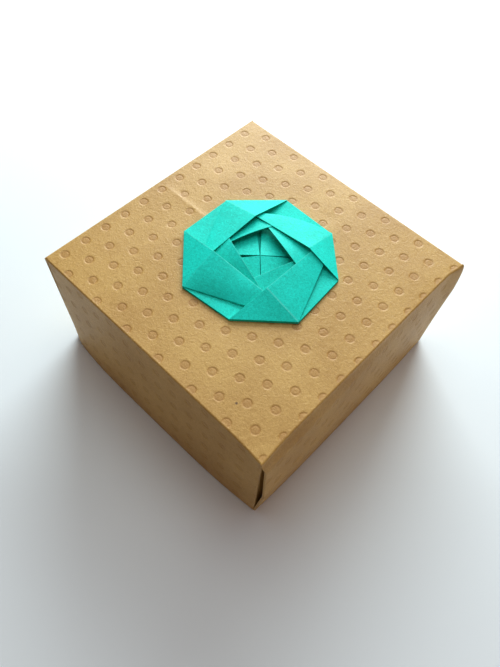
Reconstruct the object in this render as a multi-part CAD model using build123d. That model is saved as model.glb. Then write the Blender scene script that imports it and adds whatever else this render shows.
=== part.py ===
"""A masu gift box: a folded kraft tray, a lid folded the same way over it, and a teal rosette on the lid.

Millimetres, +Z up, the box's sides along X and Y, the origin on the table under the middle of the box.
"""

import os
from math import radians, sin, sqrt, tan

from build123d import *

# Lid, which the masu fold makes half as high as it is wide: a sheet 210 mm square gives these
lid_width = 74.2
lid_height = 37.1

# Kraft sheet
paper = 0.22
layer_gap = 0.12
crease_radius = 0.45
flap_radius = 0.30
seam = 0.35

# How the two halves meet, and how far the walls with folded corners bow
slip_clearance = 0.40
head_room = 1.10
rim_clearance = 0.15
lid_bow = 1.10
tray_bow = 0.0

# Rings pressed into the lid's paper, in rows that are set off by half a pitch
ring_diameter = 2.4
ring_floor_diameter = 2.0
ring_depth = 0.12
ring_sides = 12
ring_pitch = 6.40
ring_row_pitch = 5.46
ring_row_inset = 2.72
ring_start_inset = 1.04

# Rosette of teal paper, stuck on a little off the lid's middle
rosette_side = 16.0
rosette_right = 1.05
rosette_forward = 0.30
leaf = 0.24
base_stack = 0.60
hinge_level = 0.95
petal_tuck = 1.50

# Its four petals have sprung open unevenly: how high each rises, and where its edge ends under the next
left_peak = 2.90
left_dip = 2.00
bottom_peak = 2.60
bottom_dip = 2.90
right_peak = 4.50
right_dip = 2.70
top_peak = 3.50
top_dip = 2.20

# Its inner leaves
cup_edge = 2.30
cup_foot = 1.35
heart_tip = 1.30
heart_foot = 1.05
heart_slit = 0.30

# Plan of the rosette's left hand leaves, as shares of its side
cup_inner_shares = (-0.220, 0.455)
cup_notch_share = 0.30
cup_outer_share = 0.62
cup_start_share = 0.54
cup_end_share = 0.35
heart_share = 0.72

# Angles and the diagonal of a square, as a share of its side
quarter_angle = 90
lean_angle = quarter_angle / 4
diagonal_share = sqrt(2)

# Wall build-up, from the outside in: two layers on a plain wall, four where the corners are folded in
plain_wall = 2 * paper + layer_gap
pocket_wall = 4 * paper + 3 * layer_gap
skin_pair = 2 * paper + layer_gap
pocket_back = 2 * paper + 2 * layer_gap
floor_stack = 2 * paper + layer_gap


def block(low, high):
    """A box between two opposite corners."""
    size = [b - a for a, b in zip(low, high)]
    middle = [(a + b) / 2 for a, b in zip(low, high)]
    return Pos(*middle) * Box(*size)


def upright(edges):
    """A face in the plane of X and Z from edges drawn in two dimensions."""
    return Plane.XZ * make_face(edges)


def span(face, low, high):
    """A section in the plane of X and Z, drawn out along Y from low to high."""
    return Pos(0, low, 0) * extrude(face, -(high - low))


class Fold:
    """The heights and faces that one masu fold's pieces share."""

    def __init__(self, width, height, bow):
        self.half = width / 2
        self.height = height
        self.bow = bow
        self.top = self.height - pocket_wall / 2
        self.plain_end = self.half - pocket_back - crease_radius

    def skin(self, inset, bow, top):
        """The wall's upright line at a depth below its outer face, bowed or straight."""
        x = self.half - inset
        if not bow:
            return Line((x, crease_radius), (x, top))
        return ThreePointArc((x, crease_radius), (x + bow, self.height / 2), (x, top))

    def layer(self, outer, inner, straight_back=False):
        """The section of a layer between two depths of a pocketed wall."""
        front = self.skin(outer, self.bow, self.top)
        back = self.skin(inner, 0 if straight_back else self.bow, self.top)
        return upright([front, back, Line(front @ 0, back @ 0), Line(front @ 1, back @ 1)])

    def wall(self, depth, bow):
        """One wall's section: the crease at the floor, the wall, the turn over the rim, the flap inside."""
        out, inner, turn = self.half, self.half - depth, depth / 2
        top = self.height - turn
        foot = floor_stack + flap_radius
        crease = (out - crease_radius, crease_radius)
        bend = (inner - flap_radius, foot)
        flap_top, flap_under = floor_stack, floor_stack - paper
        return upright([
            CenterArc(crease, crease_radius, -90, 90),
            self.skin(0, bow, top),
            CenterArc((out - turn, top), turn, 0, 180),
            Line((inner, top), (inner, foot)),
            CenterArc(bend, flap_radius, -90, 90),
            Line((bend[0], flap_top), (bend[0], flap_under)),
            CenterArc(bend, flap_radius + paper, -90, 90),
            Line((inner + paper, foot), (inner + paper, top)),
            CenterArc((out - turn, top), turn - paper, 0, 180),
            self.skin(paper, bow, top),
            CenterArc(crease, crease_radius - paper, -90, 90),
            Line((crease[0], paper), (crease[0], 0)),
        ])

    def flap(self, depth):
        """The flap's point on the floor, its tip at the middle of the box."""
        foot = self.half - depth - flap_radius
        tip = seam / diagonal_share
        plan = make_face(Polyline((tip, 0), (foot, foot - tip), (foot, tip - foot), close=True))
        return Pos(0, 0, floor_stack - paper) * extrude(plan, paper)

    def plain(self):
        """A wall of two layers, which turns the corners behind its neighbours."""
        wall = span(self.wall(plain_wall, 0), -self.plain_end, self.plain_end)
        return wall + self.flap(plain_wall)

    def corner(self):
        """The corner folded in behind a pocketed wall: the bend, two three-sided layers and their fold."""
        back = self.half - pocket_back
        low, end, top = crease_radius, self.half, self.top
        side = Plane.YZ * make_face(Polyline((end, 0), (end, top), (end - top, top), close=True))
        ramp = extrude(side, end)
        fold = paper * diagonal_share
        strip = Plane.YZ * make_face(
            Polyline((end, 0), (end, fold), (end - top + fold, top), (end - top, top), close=True)
        )
        outer_leaf = span(self.layer(paper + layer_gap, skin_pair), end - top, end) & ramp
        edge = span(self.layer(0, skin_pair), end - paper, end)
        through = self.layer(paper + layer_gap, pocket_back + paper, True)
        diagonal = span(through, end - top, end) & extrude(strip, end)
        inner_side = Plane.YZ * make_face(
            Polyline((end - low, low), (end - low, top), (end - top, top), close=True)
        )
        inner_leaf = Pos(back - paper, 0, 0) * extrude(inner_side, paper)
        ring = Circle(crease_radius) - Circle(crease_radius - paper)
        quarter = ring & Pos(crease_radius, crease_radius) * Rectangle(2 * crease_radius, 2 * crease_radius)
        rise = self.height - plain_wall / 2 - paper
        turn = Pos(back - low, end - low, paper) * extrude(quarter, rise)
        diagonal -= block((0, end - low, 0), (end, end + low, self.height))
        return outer_leaf + edge + diagonal + inner_leaf + turn

    def pocketed(self):
        """A wall of four layers, with a folded corner behind each end that shows as a slit."""
        wall = span(self.wall(pocket_wall, self.bow), -self.half, self.half)
        inside = self.half - skin_pair - layer_gap / 2
        stop = self.half - plain_wall - seam
        relief = block((0, stop, paper), (inside, self.half + seam, self.height))
        wall = wall - relief - mirror(relief, about=Plane.XZ)
        corner = self.corner()
        return wall + self.flap(pocket_wall) + corner + mirror(corner, about=Plane.XZ)

    def floor(self):
        """The floor's lower layer, with the creases under the two plain walls run out to the corners."""
        reach = self.half - crease_radius
        plate = block((-reach, -reach, 0), (reach, reach, paper))
        ring = Circle(crease_radius) - Circle(crease_radius - paper)
        quarter = ring & Pos(crease_radius, -crease_radius) * Rectangle(2 * crease_radius, 2 * crease_radius)
        section = Plane.XZ * Pos(reach, crease_radius) * quarter
        crease = span(section, self.plain_end, reach)
        for corner in (crease, mirror(crease, about=Plane.XZ)):
            plate = plate + corner + Rot(0, 0, 180) * corner
        return plate

    def solid(self):
        """The whole folded sheet, open side up, its floor on the plane of X and Y."""
        plain, pocketed = self.plain(), self.pocketed()
        sheet = self.floor() + plain + Rot(0, 0, 180) * plain
        return sheet + Rot(0, 0, quarter_angle) * pocketed + Rot(0, 0, -quarter_angle) * pocketed


def rising(corners, plan):
    """Plan points lifted on to the plane through three corners."""
    a, b, c = (Vector(*p) for p in corners)
    n = (b - a).cross(c - a)
    return [(x, y, a.Z - (n.X * (x - a.X) + n.Y * (y - a.Y)) / n.Z) for x, y in plan]


def sheet_of(points):
    """A flat leaf of paper under a ring of points."""
    return extrude(make_face(Polyline(*points, close=True)), leaf, dir=(0, 0, -1))


def stand(a, b, level):
    """The hidden upright fold that carries a leaf's outer edge, from a to b."""
    strip = Polyline(a, b, (b[0] + leaf, b[1]), (a[0] + leaf, a[1]), close=True)
    return extrude(make_face(strip), level - leaf / 2)


def petal(peak, dip):
    """The left petal: folded over the upper left side, it rises to a peak and sinks along its edge."""
    s, h = rosette_side, rosette_side / 2
    a = h * (1 + diagonal_share)
    root, crown = (-a, h), (-h, a)
    drop = petal_tuck + s
    free = (root[0] + drop * tan(radians(lean_angle)), root[1] - drop)
    face = rising(
        [(*root, hinge_level), (-h, h, peak), (-h, -h, dip)],
        [root, (-h, h), (-h, -h - petal_tuck), free],
    )
    shoulder = [(*root, hinge_level), (*crown, hinge_level), (-h, h, peak)]
    inset = leaf * diagonal_share
    hinge = make_face(
        Polyline(root, crown, (crown[0], crown[1] - inset), (root[0] + inset, root[1]), close=True)
    )
    return sheet_of(face) + sheet_of(shoulder) + extrude(hinge, hinge_level - leaf / 2)


def cup():
    """A leaf of the inner ring, which stands up under the petal and leans over the middle."""
    s = rosette_side
    x, y = cup_inner_shares
    out = -cup_outer_share
    notch = (-cup_notch_share, cup_start_share)
    shares = [(x, y), notch, (out, cup_start_share), (out, -cup_end_share), (-y, x)]
    plan = [(u * s, v * s) for u, v in shares]
    face = rising(
        [(out * s, 0, cup_foot), (out * s, s, cup_foot), (x * s, y * s, cup_edge)], plan
    )
    return sheet_of(face) + stand(plan[2], plan[3], cup_foot)


def heart():
    """A corner of the sheet folded to the middle, with a slit between it and the next."""
    s = rosette_side
    tip, out = heart_slit / diagonal_share, heart_share * s
    face = [(-tip, 0, heart_tip), (-out, out - tip, heart_foot), (-out, tip - out, heart_foot)]
    return sheet_of(face) + stand((-out, out - tip), (-out, tip - out), heart_foot)


def rosette_solid():
    """The folded rosette, its back on the plane of X and Y."""
    corner_radius = rosette_side / (2 * sin(radians(lean_angle)))
    body = extrude(RegularPolygon(corner_radius, 8, rotation=lean_angle), base_stack)
    springs = [(left_peak, left_dip), (bottom_peak, bottom_dip), (right_peak, right_dip), (top_peak, top_dip)]
    for turn, (peak, dip) in enumerate(springs):
        body = body + Rot(0, 0, quarter_angle * turn) * (petal(peak, dip) + cup() + heart())
    return body


def rings():
    """The dimples of the rings on the flat of the lid, apart from those the rosette hides."""
    half, radius = lid_width / 2, ring_diameter / 2
    reach = half - crease_radius - radius
    cover = rosette_side * (1 + diagonal_share) / 2
    flare = ring_diameter - ring_floor_diameter
    low = Pos(0, 0, -ring_depth) * RegularPolygon(ring_floor_diameter / 2, ring_sides)
    high = Pos(0, 0, ring_depth) * RegularPolygon(ring_diameter / 2 + flare / 2, ring_sides)
    press = loft([low, high])
    found = []
    for row in range(int(lid_width / ring_row_pitch) + 1):
        y = half - ring_row_inset - row * ring_row_pitch
        start = ring_start_inset + ring_pitch / 2 * ((row + 1) % 2)
        for column in range(int(lid_width / ring_pitch) + 1):
            x = start + column * ring_pitch - half
            across, along = abs(x - rosette_right), abs(y + rosette_forward)
            hidden = max(across, along, (across + along) / diagonal_share) < cover
            if abs(x) <= reach and abs(y) <= reach and not hidden:
                found.append(Pos(x, y, 0) * press)
    return found


tray_width = lid_width - 2 * pocket_wall - 2 * slip_clearance
tray_height = lid_height - floor_stack - head_room
lid_top = lid_height + rim_clearance

lid = Pos(0, 0, lid_top) * Rot(180, 0, 0) * Fold(lid_width, lid_height, lid_bow).solid()
nodes = {
    "tray": Rot(0, 0, quarter_angle) * Fold(tray_width, tray_height, tray_bow).solid(),
    "lid": lid - [Pos(0, 0, lid_top) * ring for ring in rings()],
    "rosette": Pos(rosette_right, -rosette_forward, lid_top) * rosette_solid(),
}

os.makedirs("parts", exist_ok=True)
for name, shape in nodes.items():
    solids = shape.solids()
    print(name, len(solids), [round(s.volume, 2) for s in solids], shape.bounding_box())
    export_step(solids[0] if len(solids) == 1 else Compound(solids), f"parts/{name}.step")
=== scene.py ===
"""Looks of the masu box: a lid of embossed kraft, a plain kraft tray and a folded teal rosette.

Lengths are in millimetres until a mesh is finished; lights, camera and table are in metres.
"""

from math import atan2, cos, exp, radians, sin, sqrt

import bmesh
import bpy
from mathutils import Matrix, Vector, noise


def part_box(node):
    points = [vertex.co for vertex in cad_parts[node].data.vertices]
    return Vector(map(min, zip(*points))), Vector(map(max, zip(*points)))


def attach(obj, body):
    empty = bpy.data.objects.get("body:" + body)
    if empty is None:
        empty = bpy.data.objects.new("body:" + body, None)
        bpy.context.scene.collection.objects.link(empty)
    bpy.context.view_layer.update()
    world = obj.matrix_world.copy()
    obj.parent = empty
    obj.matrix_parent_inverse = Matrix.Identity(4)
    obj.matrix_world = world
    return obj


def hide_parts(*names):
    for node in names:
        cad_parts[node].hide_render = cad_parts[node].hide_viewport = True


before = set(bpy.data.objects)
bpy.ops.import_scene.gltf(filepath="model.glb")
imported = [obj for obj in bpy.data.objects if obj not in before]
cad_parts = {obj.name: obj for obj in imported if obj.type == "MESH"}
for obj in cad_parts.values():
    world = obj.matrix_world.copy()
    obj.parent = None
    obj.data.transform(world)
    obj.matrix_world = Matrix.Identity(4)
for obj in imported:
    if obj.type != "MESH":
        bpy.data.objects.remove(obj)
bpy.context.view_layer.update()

MM = 0.001

# Lid, in millimetres, as the solids have it
lid_low, lid_high = (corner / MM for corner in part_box("lid"))
HALF = lid_high.x
TOP = lid_high.z
RIM = lid_low.z
HEIGHT = TOP - RIM
CREASE, POCKET_BACK = 0.45, 0.68
PLAIN_TURN, POCKET_TURN = 0.28, 0.62
PLAIN_END = HALF - POCKET_BACK - CREASE
LID_BOW = lid_high.y - HALF

# Rings pressed into the paper, in rows, and the first one's place in the far left corner
PITCH, ROW = 6.40, 5.46
FIRST_X, FIRST_Y = 1.04 - HALF, HALF - 2.72
# Radius, level and how dark it is painted there: partly how hard the die has rubbed, partly painted
# shade in the ring's groove; crisp on the top, softer on the walls
RING = [
    (0.55, -0.060, 0.55),
    (0.84, -0.065, 0.6),
    (1.00, -0.095, 0.75),
    (1.12, -0.060, 0.5),
    (1.26, -0.010, 0.15),
    (1.45, 0.004, 0.0),
    (1.80, 0.0, 0.0),
]
WALL_RING = [
    (0.80, -0.060, 0.3),
    (1.00, -0.115, 0.45),
    (1.22, -0.010, 0.08),
    (1.60, 0.0, 0.0),
]

# Rosette, its middle and its paper
rosette_low, rosette_high = (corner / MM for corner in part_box("rosette"))
MIDDLE = (rosette_low + rosette_high) / 2
LEAF = 0.24
FOLD_ROUND = 0.07


def linear(code):
    """A hex colour as linear RGBA."""
    parts = [int(code[i : i + 2], 16) / 255 for i in (1, 3, 5)]
    return [p / 12.92 if p <= 0.04045 else ((p + 0.055) / 1.055) ** 2.4 for p in parts] + [1.0]


def node(tree, kind, inputs=None, **settings):
    """Adds a node with its settings; an input is a value, or a socket to link from."""
    made = tree.nodes.new(kind)
    for key, value in settings.items():
        setattr(made, key, value)
    for key, value in (inputs or {}).items():
        if isinstance(value, bpy.types.NodeSocket):
            tree.links.new(value, made.inputs[key])
        else:
            made.inputs[key].default_value = value
    return made


def smooth(low, high, x):
    """0 below low, 1 above high, eased between."""
    t = min(1.0, max(0.0, (x - low) / (high - low)))
    return t * t * (3 - 2 * t)


# Materials

# Each grain of the paper: its size in millimetres, its detail and how far it is drawn out of round.
# Real fibres are finer than the picture can show, so they are drawn about 0.5 mm wide.
GRAIN = {
    "cloud": (14.0, 2.0, 0.0),
    "fibre": (0.7, 3.0, 1.5),
    "shive": (0.5, 2.0, 2.0),
    "crinkle": (1.2, 2.0, 1.2),
    "tooth": (0.42, 3.0, 1.0),
}
# How much fibre there is to one of cloud, and how much crinkle to one of tooth
FIBRE_SHARE, CRINKLE_SHARE = 1.2, 1.4
# Where the mixed fibre and cloud turn from deep to light, and where shives begin and are full
LIGHT_FROM, LIGHT_TO = 0.75, 1.45
SHIVE_FROM, SHIVE_TO = 0.68, 0.78
# The pressed brown is partly the die's real darkening and partly painted shade in the rings' grooves
SHIVE_BROWN, PRESS_AND_SHADE_BROWN, FLECK_BROWN = "#6B4426", "#905000", "#4A2C18"
# The dark fleck near the front corner of the lid: its strength, where it is full and where it ends
FLECK_STRENGTH, FLECK_RADII = 0.85, (0.15, 0.4)
FLECK_AT = (-31.3, -24.0, TOP)


def paper(
    name, deep, light, roughness, specular, tooth_mm, speck=0.0, pressed_and_shaded=0.0, fleck=None, worn_and_highlit=None
):
    """Uncoated paper: cloudy colour, matted fibres, and a tooth over fine crinkles."""
    made = bpy.data.materials.new(name)
    made.use_nodes = True
    tree = made.node_tree
    shader = tree.nodes["Principled BSDF"]
    place = node(tree, "ShaderNodeTexCoord").outputs["Object"]
    grain = {}
    for kind, (size_mm, detail, distortion) in GRAIN.items():
        if kind == "shive" and not speck:
            continue
        scale = 1 / (size_mm * MM)
        inputs = {"Vector": place, "Scale": scale, "Detail": detail, "Distortion": distortion}
        grain[kind] = node(tree, "ShaderNodeTexNoise", inputs).outputs["Fac"]

    inputs = {0: grain["fibre"], 1: FIBRE_SHARE, 2: grain["cloud"]}
    blend = node(tree, "ShaderNodeMath", inputs, operation="MULTIPLY_ADD").outputs["Value"]
    inputs = {"Value": blend, "From Min": LIGHT_FROM, "From Max": LIGHT_TO}
    # What is laid over the deep colour: how strongly at each point, and in which colour
    layers = [(node(tree, "ShaderNodeMapRange", inputs).outputs["Result"], light)]
    if speck:
        inputs = {"From Min": SHIVE_FROM, "From Max": SHIVE_TO, "To Max": speck}
        inputs["Value"] = grain["shive"]
        layers.append((node(tree, "ShaderNodeMapRange", inputs).outputs["Result"], SHIVE_BROWN))
    # The rings are painted browner: partly where the die pressed them, partly painted shade in their
    # grooves
    if pressed_and_shaded:
        press_and_shade = node(tree, "ShaderNodeAttribute", attribute_name="press_and_shade").outputs["Fac"]
        press_and_shade_amount = node(tree, "ShaderNodeMath", {0: press_and_shade, 1: pressed_and_shaded}, operation="MULTIPLY")
        layers.append((press_and_shade_amount.outputs["Value"], PRESS_AND_SHADE_BROWN))
    if fleck:
        point = [v * MM for v in fleck]
        gap = node(tree, "ShaderNodeVectorMath", {0: place, 1: point}, operation="DISTANCE")
        inner, outer = (radius * MM for radius in FLECK_RADII)
        inputs = {
            "Value": gap.outputs["Value"],
            "From Min": inner,
            "From Max": outer,
            "To Min": FLECK_STRENGTH,
            "To Max": 0.0,
        }
        layers.append((node(tree, "ShaderNodeMapRange", inputs).outputs["Result"], FLECK_BROWN))
    # Paler along folds: partly rubbed wear, partly painted highlight where the folds catch the light
    if worn_and_highlit:
        wear_and_highlight = node(tree, "ShaderNodeAttribute", attribute_name="wear_and_highlight").outputs["Fac"]
        inputs = {0: wear_and_highlight, 1: grain["fibre"]}
        rub_and_painted_light = node(tree, "ShaderNodeMath", inputs, operation="MULTIPLY", use_clamp=True)
        layers.append((rub_and_painted_light.outputs["Value"], worn_and_highlit))
    colour = linear(deep)
    for factor, code in layers:
        inputs = {"Factor": factor, "A": colour, "B": linear(code)}
        colour = node(tree, "ShaderNodeMix", inputs, data_type="RGBA").outputs["Result"]
    tree.links.new(colour, shader.inputs["Base Color"])

    inputs = {0: grain["crinkle"], 1: CRINKLE_SHARE, 2: grain["tooth"]}
    height = node(tree, "ShaderNodeMath", inputs, operation="MULTIPLY_ADD").outputs["Value"]
    inputs = {"Height": height, "Strength": 1.0, "Distance": tooth_mm * MM}
    bump = node(tree, "ShaderNodeBump", inputs)
    tree.links.new(bump.outputs["Normal"], shader.inputs["Normal"])
    shader.inputs["Roughness"].default_value = roughness
    shader.inputs["Specular IOR Level"].default_value = specular
    return made


# Brown kraft, uncoated, of 180 g/m2: golden, matted with short fibres, browner where the die pressed
# it and with painted shade in the rings' grooves, with a dull sheen against the light
kraft = paper(
    "kraft paper",
    deep="#B58D47",
    light="#CCA860",
    roughness=0.47,
    specular=0.56,
    tooth_mm=0.055,
    speck=0.4,
    pressed_and_shaded=0.45,
    fleck=FLECK_AT,
)
# Teal origami paper, dyed through: even colour, a faint sheen, pale along folds, partly where they
# have rubbed and partly as painted highlight where they catch the light
teal = paper(
    "teal origami paper",
    deep="#0FC6B3",
    light="#20EEDC",
    roughness=0.56,
    specular=0.22,
    tooth_mm=0.03,
    worn_and_highlit="#7FEBDD",
)


# Meshes

# Points that are closer than this are one: of a solid, of neighbouring cells, of the sheets' rims
# where they meet the folds, and of a leaf's patches
CAD_SEAM, CELL_SEAM, SHEET_SEAM, LEAF_SEAM = 0.002, 0.03, 0.04, 0.005
# A face of a leaf that is narrower than the first is dropped; a cut runs through points this near
SLIVER, CUT_ROOM = 0.002, 1e-4


def from_cad(name):
    """A merged copy of a CAD node's mesh, in millimetres."""
    bm = bmesh.new()
    bm.from_mesh(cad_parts[name].data)
    bmesh.ops.scale(bm, vec=(1 / MM,) * 3, verts=bm.verts)
    bmesh.ops.remove_doubles(bm, verts=bm.verts, dist=CAD_SEAM)
    return bm


def slice_by(bm, point, normal, keep_inside=False, where=None):
    """Cuts faces on a plane, all or those whose middle passes a test; can drop what is beyond."""
    faces = [f for f in bm.faces if where is None or where(f.calc_center_median())]
    edges = {e for f in faces for e in f.edges}
    corners = {v for f in faces for v in f.verts}
    bmesh.ops.bisect_plane(
        bm,
        geom=[*corners, *edges, *faces],
        dist=CUT_ROOM,
        plane_co=point,
        plane_no=normal,
        clear_outer=keep_inside,
    )


def piece(name, bm, material, body, stands_for, sharp):
    """Makes an object from a mesh in millimetres, riding on a CAD body."""
    bmesh.ops.scale(bm, vec=(MM,) * 3, verts=bm.verts)
    mesh = bpy.data.meshes.new(name)
    bm.to_mesh(mesh)
    bm.free()
    mesh.materials.clear()
    mesh.materials.append(material)
    mesh.polygons.foreach_set("use_smooth", [True] * len(mesh.polygons))
    mesh.set_sharp_from_angle(angle=radians(sharp))
    made = bpy.data.objects.new(name, mesh)
    bpy.context.scene.collection.objects.link(made)
    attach(made, body)
    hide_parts(stands_for)


# The embossed sheet


def ring_cell(profile):
    """One brick of the sheet with one pressed ring, of a profile of radii, levels and darkening,
    which is partly the die's rub and partly painted shade of the groove.
    """
    w, h = PITCH / 2, ROW / 2
    # Points round the brick: six to a long side, four to a short one
    edge = [(w * (k / 3 - 1), -h) for k in range(6)] + [(w, h * (k / 2 - 1)) for k in range(4)]
    edge += [(-x, -y) for x, y in edge]
    bm = bmesh.new()
    loops = []
    press_and_shade = bm.verts.layers.float.new("press_and_shade")
    for radius, level, rub_and_painted_light in profile:
        ring = []
        for x, y in edge:
            a = atan2(y, x)
            v = bm.verts.new((radius * cos(a), radius * sin(a), level))
            v[press_and_shade] = rub_and_painted_light
            ring.append(v)
        loops.append(ring)
    loops.append([bm.verts.new((x, y, 0)) for x, y in edge])
    middle = bm.verts.new((0, 0, profile[0][1]))
    middle[press_and_shade] = profile[0][2]
    count = len(edge)
    for i in range(count):
        j = (i + 1) % count
        bm.faces.new((middle, loops[0][i], loops[0][j]))
        for inner, outer in zip(loops, loops[1:]):
            bm.faces.new((inner[i], outer[i], outer[j], inner[j]))
    bmesh.ops.scale(bm, vec=(MM,) * 3, verts=bm.verts)
    mesh = bpy.data.meshes.new("ring_cell")
    bm.to_mesh(mesh)
    bm.free()
    made = bpy.data.objects.new("ring_cell", mesh)
    bpy.context.scene.collection.objects.link(made)
    return made


# How far in from a panel's edge the rings fade, so that it meets the folds flat
FADE = 0.3


def lattice_tree():
    """Lays cells in rows, every other row set off by half a pitch, and joins them to a sheet."""
    tree = bpy.data.node_groups.new("ring lattice", "GeometryNodeTree")
    for name, kind in (
        ("Cell", "NodeSocketObject"),
        ("Columns", "NodeSocketInt"),
        ("Rows", "NodeSocketInt"),
        ("Pitch", "NodeSocketFloat"),
        ("Row pitch", "NodeSocketFloat"),
        ("First row set off", "NodeSocketInt"),
        ("Paper", "NodeSocketMaterial"),
    ):
        tree.interface.new_socket(name, in_out="INPUT", socket_type=kind)
    tree.interface.new_socket("Sheet", in_out="OUTPUT", socket_type="NodeSocketGeometry")
    given = node(tree, "NodeGroupInput").outputs
    known = {socket.name: socket for socket in given if socket.name}
    place = node(tree, "GeometryNodeInputPosition")
    known["Y"] = node(tree, "ShaderNodeSeparateXYZ", {0: place.outputs["Position"]}).outputs["Y"]
    # Each sum's name, what it does, and the names or numbers that it takes
    for name, operation, a, b in (
        ("Column gaps", "SUBTRACT", "Columns", 1),
        ("Row gaps", "SUBTRACT", "Rows", 1),
        ("Wide", "MULTIPLY", "Column gaps", "Pitch"),
        ("Deep", "MULTIPLY", "Row gaps", "Row pitch"),
        ("Half deep", "MULTIPLY", "Deep", 0.5),
        ("Height", "ADD", "Y", "Half deep"),
        ("Rows up", "DIVIDE", "Height", "Row pitch"),
        ("Row", "ROUND", "Rows up", 0),
        ("Counted row", "ADD", "Row", "First row set off"),
        ("Odd", "FLOORED_MODULO", "Counted row", 2),
        ("Half pitch", "MULTIPLY", "Pitch", 0.5),
        ("Shift", "MULTIPLY", "Odd", "Half pitch"),
    ):
        inputs = {0: known.get(a, a), 1: known.get(b, b)}
        known[name] = node(tree, "ShaderNodeMath", inputs, operation=operation).outputs["Value"]
    grid = node(
        tree,
        "GeometryNodeMeshGrid",
        {
            "Size X": known["Wide"],
            "Size Y": known["Deep"],
            "Vertices X": known["Columns"],
            "Vertices Y": known["Rows"],
        },
    )
    offset = node(tree, "ShaderNodeCombineXYZ", {"X": known["Shift"]})
    moved = node(
        tree,
        "GeometryNodeSetPosition",
        {"Geometry": grid.outputs["Mesh"], "Offset": offset.outputs["Vector"]},
    )
    cell = node(tree, "GeometryNodeObjectInfo", {"Object": known["Cell"]})
    laid = node(
        tree,
        "GeometryNodeInstanceOnPoints",
        {"Points": moved.outputs["Geometry"], "Instance": cell.outputs["Geometry"]},
    )
    real = node(tree, "GeometryNodeRealizeInstances", {"Geometry": laid.outputs["Instances"]})
    joined = node(
        tree,
        "GeometryNodeMergeByDistance",
        {"Geometry": real.outputs["Geometry"], "Distance": CELL_SEAM * MM},
    )
    faced = node(
        tree,
        "GeometryNodeSetMaterial",
        {"Geometry": joined.outputs["Geometry"], "Material": known["Paper"]},
    )
    node(tree, "NodeGroupOutput", {"Sheet": faced.outputs["Geometry"]})
    return tree


def set_input(modifier, name, value):
    """Sets a tree's named input by its socket's identifier."""
    for item in modifier.node_group.interface.items_tree:
        if item.item_type == "SOCKET" and item.in_out == "INPUT" and item.name == name:
            modifier[item.identifier] = value


def panel(tree, cell, low, high):
    """The flat sheet's rings between two corners, as a mesh in millimetres."""
    rows = [int((low[1] - FIRST_Y) // ROW) - 1, int((high[1] - FIRST_Y) // ROW) + 2]
    columns = [int((low[0] - FIRST_X) // PITCH) - 2, int((high[0] - FIRST_X) // PITCH) + 2]
    holder = bpy.data.objects.new("panel", bpy.data.meshes.new("panel"))
    bpy.context.scene.collection.objects.link(holder)
    modifier = holder.modifiers.new("rings", "NODES")
    modifier.node_group = tree
    for name, value in (
        ("Cell", cell),
        ("Columns", columns[1] - columns[0] + 1),
        ("Rows", rows[1] - rows[0] + 1),
        ("Pitch", PITCH * MM),
        ("Row pitch", ROW * MM),
        ("First row set off", (rows[0] + 1) % 2),
        ("Paper", kraft),
    ):
        set_input(modifier, name, value)
    graph = bpy.context.evaluated_depsgraph_get()
    mesh = bpy.data.meshes.new_from_object(holder.evaluated_get(graph))
    bpy.data.objects.remove(holder)
    bm = bmesh.new()
    bm.from_mesh(mesh)
    bpy.data.meshes.remove(mesh)
    bmesh.ops.scale(bm, vec=(1 / MM,) * 3, verts=bm.verts)
    middle = (FIRST_X + PITCH * sum(columns) / 2, FIRST_Y + ROW * sum(rows) / 2, 0)
    bmesh.ops.translate(bm, vec=middle, verts=bm.verts)
    for axis in (0, 1):
        for corner, sign in ((low, -1), (high, 1)):
            normal = [0.0, 0.0, 0.0]
            normal[axis] = sign
            slice_by(bm, (*corner, 0), normal, keep_inside=True)
    for v in bm.verts:
        inset = min(v.co.x - low[0], high[0] - v.co.x, v.co.y - low[1], high[1] - v.co.y)
        v.co.z *= smooth(0, FADE, inset)
    return bm


def bow(z):
    """How far a wall with folded corners stands out at a height."""
    low, high = RIM + POCKET_TURN, TOP - CREASE
    middle = (low + high) / 2
    return LID_BOW * max(0.0, 1 - ((z - middle) / (high - middle)) ** 2)


def wall_point(side, along, across, level):
    """A point of the flat sheet beyond the lid's edge, folded down on to a wall."""
    z = TOP - across
    if side[0]:
        return side[0] * (HALF + level), along, z
    return along, side[1] * (HALF + bow(z) + level), z


# How this lid has settled. A drop is the share of the way down: 0 at the top, 1 at the rim.

# The slit at the near corner: the near wall's left end springs out, opens on and closes again
LIP_FROM, LIP_TO, LIP_TURN = 0.045, 0.115, 0.55
LIP_SPRING, LIP_OPENING, LIP_WIDEST, LIP_CLOSING = 1.60, 1.65, 2.32, 4.1
# The left wall's edge in that slit: how far it follows, and over which drops and places it starts
SLIT_EDGE, SLIT_GAP = 0.80, 0.46
SLIT_FROM, SLIT_TO = 0.02, 0.08
SLIT_LEFT, SLIT_RIGHT = -30, -5
TUCK_REACH, TUCK_EDGE = 7, 1.5
# The near wall's right end: drawn out into an ear, and pulled in towards the table
EAR_OUT, EAR_FLARE, EAR_FLARE_DROP, EAR_FADE_DROP, EAR_REACH = 0.90, 0.85, 0.05, 0.42, 6
EAR_PULL, EAR_PULL_POWER, EAR_PULL_REACH = 1.2, 1.2, 7
EAR_TOP_FROM, EAR_TOP_TO = 0.02, 0.05
# Walls belly out between their ends, more towards the table, and the side walls lean out
BELLY, BELLY_END_POWER, BELLY_DROP_POWER, RIM_DROP_POWER = 0.6, 4, 1.4, 4
RIGHT_BULGE, RIGHT_FULL, RIGHT_EASE, RIGHT_EASE_FROM = 0.75, 0.3, 0.2, 0.4
LEFT_LEAN, LEFT_LEAN_SKEW, RIGHT_LEAN = 1.75, 0.18, 0.8
FAR_BOW_LOST, FAR_WALL_DEPTH, SIDE_WALL_DEPTH = 0.88, 1.5, 1.0
# Two corners: the far left one drawn in, and the near left one of the top drawn to a point
CORNER_REACH, CORNER_IN, CORNER_SIZE = 6, 0.6, 2.0
POINT_OUT, POINT_SPREAD, POINT_FROM, POINT_TO = 0.45, 20, 0.02, 0.1
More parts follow.
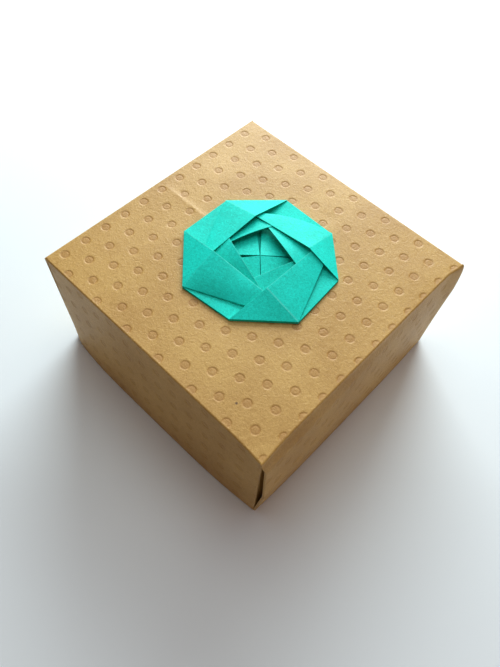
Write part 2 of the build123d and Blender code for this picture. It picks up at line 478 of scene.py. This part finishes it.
# The top: a slight swell round the rosette, the crease across its far half, and one small dent
SOFT_DROP, SOFT_EDGE = 0.04, 3
SWELL, SWELL_FROM, SWELL_TO = 0.14, 20.5, 25
SWELL_WIDE, SWELL_NARROW, SWELL_NARROW_SHARE = 21, 8, 0.35
WIDE_SEED, NARROW_SEED = 3.7, 1.3
RIDGE, RIDGE_AT, RIDGE_RIGHT, RIDGE_LEFT = 0.17, 0.8, 0.55, 2.4
RIDGE_FULL, RIDGE_END = 31, 36
DENT, DENT_X, DENT_Y, DENT_SPREAD = 0.14, 24.4, -4.0, 2.2


def lip(drop):
    """How far the near wall's left end stands out: a slit that is widest below its middle."""
    rise = LIP_SPRING * smooth(LIP_FROM, LIP_TO, drop) + LIP_OPENING * max(0.0, drop - LIP_TO)
    return min(rise, LIP_WIDEST - LIP_CLOSING * (drop - LIP_TURN))


def ear(x, drop):
    """How far the right end of the near wall is drawn out, with the corner of the top above it."""
    out = EAR_OUT + EAR_FLARE * (1 - exp(-drop / EAR_FLARE_DROP))
    return out * exp(-drop / EAR_FADE_DROP) * smooth(HALF - EAR_REACH, HALF, x)


def between_ends(share):
    """How much of a wall's belly is left, at a share of the way from its middle to its ends."""
    return 1 - min(1.0, abs(share)) ** BELLY_END_POWER


def front_bulge(x, drop):
    """How far the near wall really stands out: the lip at its left end, an ear at its right."""
    ease = 1 - RIGHT_EASE * smooth(RIGHT_EASE_FROM, 1.0, drop)
    right = RIGHT_BULGE * smooth(0.0, RIGHT_FULL, drop) * ease
    share = smooth(-1, 1, x / HALF)
    out = (1 - share) * lip(drop) + share * right + ear(x, drop)
    return out + BELLY * between_ends(x / HALF) * drop**BELLY_DROP_POWER


def tucked(x, y, drop):
    """How far the layers behind the near wall follow it, and the left wall's edge in the slit."""
    beside = smooth(SLIT_RIGHT, SLIT_LEFT, x)
    slit = min(SLIT_EDGE, SLIT_GAP + lip(drop)) * smooth(SLIT_FROM, SLIT_TO, drop) * beside
    rim = front_bulge(x, 1.0) * drop**RIM_DROP_POWER * (1 - beside)
    return (slit + rim) * smooth(-HALF + TUCK_REACH, -HALF + TUCK_EDGE, y)


def top_relief(x, y):
    """How far the soft top rises or sinks at a place."""
    out = max(abs(x), abs(y))
    wide = noise.noise(Vector((x / SWELL_WIDE, y / SWELL_WIDE, WIDE_SEED)))
    narrow = noise.noise(Vector((x / SWELL_NARROW, y / SWELL_NARROW, NARROW_SEED)))
    swell = wide + SWELL_NARROW_SHARE * narrow
    ridge = 0.0
    if y > 0:
        slope = RIDGE_RIGHT if x > RIDGE_AT else RIDGE_LEFT
        ridge = exp(-abs(x - RIDGE_AT) / slope) * smooth(RIDGE_END, RIDGE_FULL, y)
    dent = exp(-((x - DENT_X) ** 2 + (y - DENT_Y) ** 2) / DENT_SPREAD)
    relief = SWELL * swell * smooth(SWELL_FROM, SWELL_TO, out) + RIDGE * ridge - DENT * dent
    return smooth(0, SOFT_EDGE, HALF - out) * relief


def settle(x, y, z):
    """How the real sheet has settled: walls that stand out, drawn corners, a soft top."""
    drop = min(1.0, max(0.0, (TOP - z) / HEIGHT))
    side, end = x / HALF, y / HALF
    spread = BELLY * between_ends(side)
    if y < -HALF + POCKET_TURN:
        y += bow(z) - front_bulge(x, drop)
        x -= EAR_PULL * drop**EAR_PULL_POWER * smooth(HALF - EAR_PULL_REACH, HALF, x)
    elif y < 0:
        y -= tucked(x, y, drop)
        above = 1 - smooth(EAR_TOP_FROM, EAR_TOP_TO, drop)
        y -= ear(x, 0) * above * smooth(-HALF + TUCK_REACH, -HALF + POCKET_TURN, y)
    elif y > HALF - POCKET_TURN:
        y += spread * drop**BELLY_DROP_POWER - FAR_BOW_LOST * bow(z)
    elif y > HALF - FAR_WALL_DEPTH:
        y += spread * drop**RIM_DROP_POWER
    if abs(side * HALF) > HALF - SIDE_WALL_DEPTH:
        lean = between_ends(end) * drop**BELLY_DROP_POWER
        x += -LEFT_LEAN * (1 + LEFT_LEAN_SKEW * end) * lean if x < 0 else RIGHT_LEAN * lean
    if x < -HALF + CORNER_REACH and y > HALF - CORNER_REACH:
        gap = ((HALF + x) / CORNER_SIZE) ** 2 + ((HALF - y) / CORNER_SIZE) ** 2
        near = CORNER_IN * exp(-gap) * drop
        x, y = x + near, y - near
    if x < 0 and y < 0:
        point = POINT_OUT * exp(-((x + HALF) ** 2 + (y + HALF) ** 2) / POINT_SPREAD)
        point *= 1 - smooth(POINT_FROM, POINT_TO, drop)
        x, y = x - point, y - point
    if drop < SOFT_DROP:
        z += top_relief(x, y)
    return x, y, z


# Cuts that let the folds and the inside bend with the sheet: how far apart they are, how deep the
# finer ones behind the near wall reach, and where they lie beside the crease
CUT, NEAR_CUT_DEPTH = 4.0, 1.6
RIDGE_CUTS = (-4.0, -2.4, -1.2, -0.5, 0.0, 0.35, 0.8, 1.6)
# How deep a face of the solid's rings may lie, and how near a fold or a wall counts as on it
RING_ROOM, FOLD_ROOM, WALL_ROOM = 0.15, 0.01, 0.004


def lid():
    """Makes the lid: the solid's folds, rims and inside, with embossed paper for its outer faces."""
    bm = from_cad("lid")
    # A layer for the rings' darkening, partly pressed and partly painted shade, left at nothing on
    # the solid's faces
    bm.verts.layers.float.new("press_and_shade")
    bm.normal_update()
    flat, edge = HALF - CREASE + FOLD_ROOM, HALF - WALL_ROOM
    doomed = []
    for face in bm.faces:
        points = [v.co for v in face.verts]
        outward = face.normal.y * face.calc_center_median().y > 0.5 * HALF
        if all(p.z > TOP - RING_ROOM and abs(p.x) < flat and abs(p.y) < flat for p in points):
            doomed.append(face)
        elif all(abs(p.x) > edge and abs(p.y) < PLAIN_END + FOLD_ROOM for p in points):
            doomed.append(face)
        elif outward and all(abs(p.y) > edge for p in points):
            doomed.append(face)
    bmesh.ops.delete(bm, geom=doomed, context="FACES")
    cuts = int(HALF / CUT)
    for k in range(-cuts, cuts + 1):
        slice_by(bm, (k * CUT, 0, 0), (1, 0, 0))
        slice_by(bm, (0, k * CUT, 0), (0, 1, 0))
        if k > 0:
            slice_by(bm, (0, 0, k * CUT), (0, 0, 1))
    for k in range(1, int(HEIGHT)):
        slice_by(bm, (0, 0, k), (0, 0, 1), where=lambda p: p.y < -HALF + NEAR_CUT_DEPTH)

    cell, wall_cell, tree = ring_cell(RING), ring_cell(WALL_RING), lattice_tree()
    reach = HALF - CREASE
    sheets = []
    top = panel(tree, cell, (-reach, -reach), (reach, reach))
    for offset in RIDGE_CUTS:
        slice_by(top, (RIDGE_AT + offset, 0, 0), (1, 0, 0))
    for v in top.verts:
        v.co.z += TOP
    sheets.append((top, Vector((0, 0, 1))))
    for side in ((-1, 0), (1, 0), (0, -1), (0, 1)):
        turn = PLAIN_TURN if side[0] else POCKET_TURN
        end = PLAIN_END if side[0] else HALF
        near, far = HALF + CREASE, HALF + HEIGHT - turn
        if side[0]:
            low, high = (side[0] * near, -end), (side[0] * far, end)
        else:
            low, high = (-end, side[1] * near), (end, side[1] * far)
        low, high = tuple(map(min, low, high)), tuple(map(max, low, high))
        wall = panel(tree, wall_cell, low, high)
        for v in wall.verts:
            x, y, level = v.co
            beyond = abs(x) if side[0] else abs(y)
            v.co = wall_point(side, y if side[0] else x, beyond - HALF, level)
        sheets.append((wall, Vector((*side, 0))))
    bpy.data.objects.remove(cell)
    bpy.data.objects.remove(wall_cell)
    for sheet, out in sheets:
        sheet.normal_update()
        if sum((f.normal.dot(out) for f in sheet.faces), 0.0) < 0:
            bmesh.ops.reverse_faces(sheet, faces=sheet.faces)
        mesh = bpy.data.meshes.new("sheet")
        sheet.to_mesh(mesh)
        sheet.free()
        bm.from_mesh(mesh)
        bpy.data.meshes.remove(mesh)
    rim = [v for v in bm.verts if v.is_boundary]
    bmesh.ops.remove_doubles(bm, verts=rim, dist=SHEET_SEAM)
    for v in bm.verts:
        v.co = settle(*v.co)
    piece("lid_paper", bm, kraft, "cover", "lid", sharp=40)


# The rosette

# Corners of the octagon in plan from its middle, as folded by hand, clockwise from the far side
OCTAGON = {
    "far_left": (7.2, 19.4),
    "far_right": (19.2, 8.1),
    "right_far": (19.0, -7.8),
    "right_near": (8.65, -18.5),
    "near_right": (-7.6, -19.7),
    "near_left": (-18.6, -7.7),
    "left_near": (-20.1, 6.8),
    "left_far": (-7.9, 19.4),
}
# How high the petals' hinges lie on its sides
HINGE = 0.84
# Edges that turn more than this are rims, and this far from a fold its rub and painted highlight
# have faded
RIM_TURN, RUB_AND_HIGHLIGHT_REACH = radians(50), 0.22
# The flat layers under the petals: their levels, their thickness and the hole in the upper one
FLOOR_TOP, FLOOR_THICK = 0.10, 0.10
RING_TOP, RING_THICK, RING_HOLE = 0.62, 0.53, 0.5
# Where lines of a patch lie, close together along its rims
LINES = (0, 0.02, 0.06, 0.14, 0.26, 0.42, 0.58, 0.74, 0.86, 0.94, 0.98, 1)


def patch(corners, bends=None, crown=0.0):
    """Points of a four-sided patch; a bend bows the middle of an edge, the crown its middle."""
    a, b, c, d = (Vector(p) for p in corners)
    bends = {k: Vector(v) for k, v in (bends or {}).items()}
    none = Vector((0, 0, 0))

    def edge(k, start, stop, t):
        """A point of one edge, whose bend is full half way and nothing at both ends."""
        return start.lerp(stop, t) + bends.get(k, none) * 4 * t * (1 - t)

    rows = []
    for v in LINES:
        row = []
        for u in LINES:
            across = edge(0, a, b, u).lerp(edge(2, d, c, u), v)
            along = edge(3, a, d, v).lerp(edge(1, b, c, v), u)
            flat = a.lerp(b, u).lerp(d.lerp(c, u), v)
            point = across + along - flat
            point.z += crown * 16 * u * (1 - u) * v * (1 - v)
            row.append(point)
        rows.append(row)
    return rows


def leaf(patches, folds=(), thickness=LEAF):
    """A leaf of paper from patches that share edges, rounded at its rim, paler along its folds with
    rubbed wear and painted highlight.
    """
    bm = bmesh.new()
    for rows in patches:
        grid = [[bm.verts.new(p) for p in row] for row in rows]
        for low, high in zip(grid, grid[1:]):
            for i in range(len(low) - 1):
                bm.faces.new((low[i], low[i + 1], high[i + 1], high[i]))
    bmesh.ops.remove_doubles(bm, verts=bm.verts, dist=LEAF_SEAM)
    bmesh.ops.dissolve_degenerate(bm, edges=bm.edges, dist=SLIVER)
    grown = bmesh.ops.extrude_face_region(bm, geom=bm.faces[:], use_keep_orig=True)["geom"]
    lower = [v for v in grown if isinstance(v, bmesh.types.BMVert)]
    bmesh.ops.translate(bm, vec=(0, 0, -thickness), verts=lower)
    bmesh.ops.recalc_face_normals(bm, faces=bm.faces)
    rims = [e for e in bm.edges if len(e.link_faces) == 2 and e.calc_face_angle(0.0) > RIM_TURN]
    bmesh.ops.bevel(
        bm,
        geom=rims,
        offset=FOLD_ROUND,
        segments=2,
        profile=0.5,
        affect="EDGES",
        clamp_overlap=True,
    )
    wear_and_highlight = bm.verts.layers.float.new("wear_and_highlight")
    for v in bm.verts:
        rubs_and_highlights = [rub_and_painted_light * max(0.0, 1 - gap_to(v.co, a, b) / RUB_AND_HIGHLIGHT_REACH) for a, b, rub_and_painted_light in folds]
        v[wear_and_highlight] = max(rubs_and_highlights, default=0.0)
    return bm


def gap_to(point, a, b):
    """Distance in plan from a point to the stretch from a to b."""
    dx, dy = b[0] - a[0], b[1] - a[1]
    t = ((point.x - a[0]) * dx + (point.y - a[1]) * dy) / (dx * dx + dy * dy)
    t = max(0.0, min(1.0, t))
    return sqrt((point.x - a[0] - t * dx) ** 2 + (point.y - a[1] - t * dy) ** 2)


def petal(root, crown, peak, end, free, rubs_and_highlights, bends=None, belly=0.1):
    """A petal: a shoulder over one side of the octagon, and a face that ends under the next."""
    root, crown = (*OCTAGON[root], HINGE), (*OCTAGON[crown], HINGE)
    shoulder = patch((peak, root, crown, crown))
    face = patch((peak, root, free, end), bends, belly)
    return leaf([shoulder, face], list(zip((crown, root, end), (peak,) * 3, rubs_and_highlights)))


def petals():
    """The four petals, each sprung open by its own height and paler on folds of its own, with rubbed
    wear and painted highlight.
    """
    left = petal(
        "left_near",
        "left_far",
        (-8.65, 7.75, 3.7),
        (-7.9, -9.55, 2.5),
        (-12.85, -9.25, 1.3),
        rubs_and_highlights=(0.9, 0.15, 0.9),
        belly=0.45,
    )
    near = petal(
        "near_right",
        "near_left",
        (-7.0, -8.65, 3.0),
        (10.0, -8.75, 2.95),
        (9.9, -12.85, 1.8),
        rubs_and_highlights=(0.1, 0.9, 0.7),
    )
    right = petal(
        "right_far",
        "right_near",
        (9.05, -8.05, 3.75),
        (7.8, 9.7, 2.5),
        (9.6, 9.2, 2.2),
        rubs_and_highlights=(0.1, 0.3, 0.2),
        bends={1: (0.95, 0.52, 0.45)},
    )
    far = petal(
        "far_left",
        "far_right",
        (7.25, 8.6, 3.5),
        (-9.2, 8.65, 2.1),
        (-9.4, 10.6, 1.4),
        rubs_and_highlights=(0.1, 0.3, 0.1),
        bends={1: (-0.2, 0.4, 0.0)},
    )
    return [left, near, right, far]


def cups():
    """The inner ring: four leaves that lean over the middle, each with a folded edge."""
    # Each leaf's four corners, folded edge first
    shapes = [
        ((-2.15, 9.15, 2.5), (-7.8, -7.2, 2.5), (-10.8, -6.4, 0.9), (-10.8, 9.6, 0.9)),
        ((-8.4, -3.35, 1.9), (4.6, -7.5, 2.2), (6.5, -11.0, 1.3), (-8.5, -11.0, 1.1)),
        ((7.5, 5.1, 2.55), (3.6, -9.2, 2.35), (11.0, -9.2, 2.5), (11.0, 6.0, 1.9)),
        ((-3.75, 8.05, 2.0), (9.2, 3.0, 2.9), (9.4, 10.6, 1.6), (-6.0, 10.6, 1.3)),
    ]
    # How that edge bows, and how pale it is painted: partly rubbed wear, partly painted highlight
    bends = [(-0.25, -0.25, 0.5), (0, 0, 0.1), (-0.38, -0.38, 0.75), (0.15, 0.45, 0.1)]
    rubs_and_highlights = [0.9, 0.6, 0.3, 0.2]
    made = []
    for (a, b, c, d), bend, rub_and_painted_light in zip(shapes, bends, rubs_and_highlights):
        middle = (Vector(a) + Vector(b)) / 2 + Vector(bend)
        made.append(leaf([patch((a, b, c, d), {0: bend})], [(a, middle, rub_and_painted_light), (middle, b, rub_and_painted_light)]))
    return made


def hearts():
    """The sheet's four corners folded to the middle, sprung up, with slits that open outwards."""
    # How far out they are folded, how far apart their tips stay, and the levels of tip and fold
    out, tip, level, foot = 8.5, 0.12, 1.65, 0.35
    # Where the tips meet, and how wide each slit is at its outer end
    x, y = -0.21, -0.15
    far, left, near, right = 1.1, 1.3, 0.12, 0.4
    corners = [
        ((x, y + tip), (out - far, out), (left - out, out)),
        ((x - tip, y), (-out, out - left), (-out, near - out)),
        ((x, y - tip), (near - out, -out), (out - right, -out)),
        ((x + tip, y), (out, right - out), (out, out - far)),
    ]
    made = []
    for a, b, c in corners:
        peak = (*a, level)
        made.append(leaf([patch((peak, peak, (*c, foot), (*b, foot)))]))
    return made


def backing():
    """The octagon's flat layers: a floor, and a ring that shows between the petals."""
    outer = [Vector((*p, 0)) for p in OCTAGON.values()]
    low, high = Vector((0, 0, FLOOR_TOP)), Vector((0, 0, RING_TOP))
    floor, ring = [], []
    for p, q in zip(outer, outer[1:] + outer[:1]):
        floor.append(patch((p + low, q + low, low, low)))
        ring.append(patch((p + high, q + high, q * RING_HOLE + high, p * RING_HOLE + high)))
    return [leaf(floor, thickness=FLOOR_THICK), leaf(ring, thickness=RING_THICK)]


def rosette():
    """Makes the rosette of flat layers, folded corners, an inner ring and four petals."""
    bm = bmesh.new()
    for part in backing() + hearts() + cups() + petals():
        mesh = bpy.data.meshes.new("leaf")
        part.to_mesh(mesh)
        part.free()
        bm.from_mesh(mesh)
        bpy.data.meshes.remove(mesh)
    bmesh.ops.translate(bm, vec=(MIDDLE.x, MIDDLE.y, TOP), verts=bm.verts)
    piece("rosette_paper", bm, teal, "cover", "rosette", sharp=25)


lid()
rosette()
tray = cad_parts["tray"]
tray.data.materials.clear()
tray.data.materials.append(kraft)

# Table, light and camera

table_paint = bpy.data.materials.new("pale table")
table_paint.use_nodes = True
coat = table_paint.node_tree.nodes["Principled BSDF"]
coat.inputs["Base Color"].default_value = linear("#EBF2F3")
coat.inputs["Roughness"].default_value = 0.7
table_mesh = bpy.data.meshes.new("table")
reach = 2.0
corners = [(-reach, -reach, 0), (reach, -reach, 0), (reach, reach, 0), (-reach, reach, 0)]
table_mesh.from_pydata(corners, [], [(0, 1, 2, 3)])
table_mesh.materials.append(table_paint)
table = bpy.data.objects.new("table", table_mesh)
bpy.context.scene.collection.objects.link(table)

world = bpy.data.worlds.new("room")
bpy.context.scene.world = world
world.use_nodes = True
sky = world.node_tree.nodes["Background"]
sky.inputs["Color"].default_value = linear("#FFE2DE")
sky.inputs["Strength"].default_value = 0.225


# What the lights face
AIM = Vector((0, 0, 0.02))


def window(name, place, size, power, code):
    """A soft rectangular light that faces the box."""
    lamp = bpy.data.lights.new(name, "AREA")
    lamp.shape, lamp.size, lamp.size_y = "RECTANGLE", *size
    lamp.energy, lamp.color = power, linear(code)[:3]
    made = bpy.data.objects.new(name, lamp)
    made.location = place
    made.rotation_euler = (AIM - Vector(place)).to_track_quat("-Z", "Y").to_euler()
    made.visible_camera = False
    bpy.context.scene.collection.objects.link(made)


window("low window", (0.45, 0.31, 0.285), (0.50, 0.34), power=5.7, code="#F0FAFF")
window("ceiling", (0.13, 0.11, 0.60), (0.50, 0.50), power=1.55, code="#F0FDFF")
window("side fill", (0.20, -0.55, 0.30), (0.50, 0.40), power=0.40, code="#FFE4DC")
display = bpy.context.scene.view_settings
display.view_transform, display.gamma = "Standard", 0.85

# The camera is fitted to the lid's corners
lens = bpy.data.cameras.new("camera")
lens.lens, lens.sensor_width = 31.844, 36.0
lens.clip_start = 0.005
camera = bpy.data.objects.new("camera", lens)
camera.location = (-0.070813, -0.059153, 0.154751)
camera.rotation_euler = (radians(30.951), radians(-2.483), radians(-46.008))
bpy.context.scene.collection.objects.link(camera)
bpy.context.scene.camera = camera
